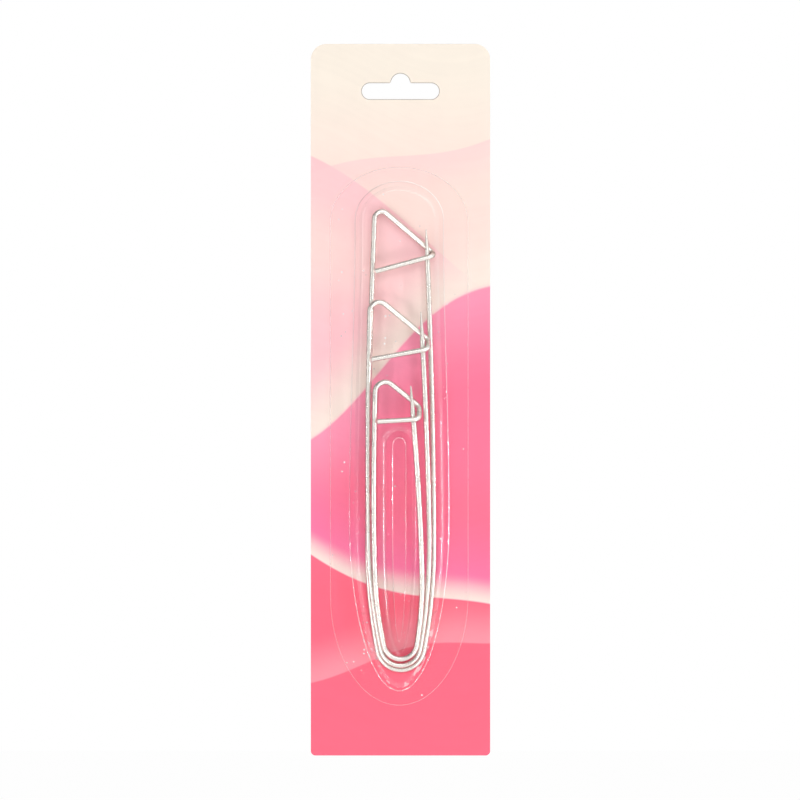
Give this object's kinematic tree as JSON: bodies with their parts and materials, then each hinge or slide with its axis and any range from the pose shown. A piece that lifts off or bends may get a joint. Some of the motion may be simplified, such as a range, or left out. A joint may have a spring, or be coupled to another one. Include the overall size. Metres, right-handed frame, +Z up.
{
  "type": "stitch holder set on a blister card",
  "caption": "Nested bent-wire stitch holders with pointed pins and hooked catches, under a clear formed blister on a printed hanging card with a euro slot.",
  "frame": {"origin": "centre of the hang slot, on the back face of the card", "axes": "+Z up the card as it hangs, +Y out of its back face, +X to the right as seen from the front; the front faces -Y"},
  "size_m": [0.058, 0.0103, 0.2302],
  "materials": {
    "card": "coated printed board, satin",
    "clear_sheet": "clear, glossy",
    "wire": "polished"
  },
  "bodies": {
    "card_body": {"card": "card"},
    "blister_body": {"blister": "clear_sheet"},
    "large_holder": {"holder_15_frame": "wire"},
    "large_pin": {"holder_15_pin": "wire"},
    "middle_holder": {"holder_12_frame": "wire"},
    "middle_pin": {"holder_12_pin": "wire"},
    "small_holder": {"holder_9_frame": "wire"},
    "small_pin": {"holder_9_pin": "wire"}
  },
  "joints": [
    {"name": "blister_lift", "type": "slide", "parent": "card_body", "child": "blister_body", "axis": [0, -1, 0], "range_m": [0, 0.1]},
    {"name": "holder_15_lift", "type": "slide", "parent": "card_body", "child": "large_holder", "axis": [0, -1, 0], "range_m": [0, 0.025]},
    {"name": "holder_12_lift", "type": "slide", "parent": "card_body", "child": "middle_holder", "axis": [0, -1, 0], "range_m": [0, 0.05]},
    {"name": "holder_9_lift", "type": "slide", "parent": "card_body", "child": "small_holder", "axis": [0, -1, 0], "range_m": [0, 0.075]},
    {"name": "holder_15_squeeze", "type": "hinge", "parent": "large_holder", "child": "large_pin", "pos_m": [0.00012, -0.00161, -0.1863], "axis": [0, -0.9999, -0.0132], "range_deg": [0, 4], "stiffness_Nm_per_rad": 0.61},
    {"name": "holder_12_squeeze", "type": "hinge", "parent": "middle_holder", "child": "middle_pin", "pos_m": [0.00011, -0.00312, -0.1848], "axis": [0, -0.9996, -0.028], "range_deg": [0, 6], "stiffness_Nm_per_rad": 0.76},
    {"name": "holder_9_squeeze", "type": "hinge", "parent": "small_holder", "child": "small_pin", "pos_m": [0.0001, -0.00463, -0.1826], "axis": [0, -0.9995, -0.0314], "range_deg": [0, 5], "stiffness_Nm_per_rad": 0.99}
  ],
  "couplings": [
    {"joint": "holder_15_lift", "follows": "blister_lift", "ratio": 0.25},
    {"joint": "holder_12_lift", "follows": "blister_lift", "ratio": 0.5},
    {"joint": "holder_9_lift", "follows": "blister_lift", "ratio": 0.75},
    {"joint": "holder_15_squeeze", "follows": "blister_lift", "rad_per_m": 0.698},
    {"joint": "holder_12_squeeze", "follows": "blister_lift", "rad_per_m": 1.047},
    {"joint": "holder_9_squeeze", "follows": "blister_lift", "rad_per_m": 0.872}
  ]
}
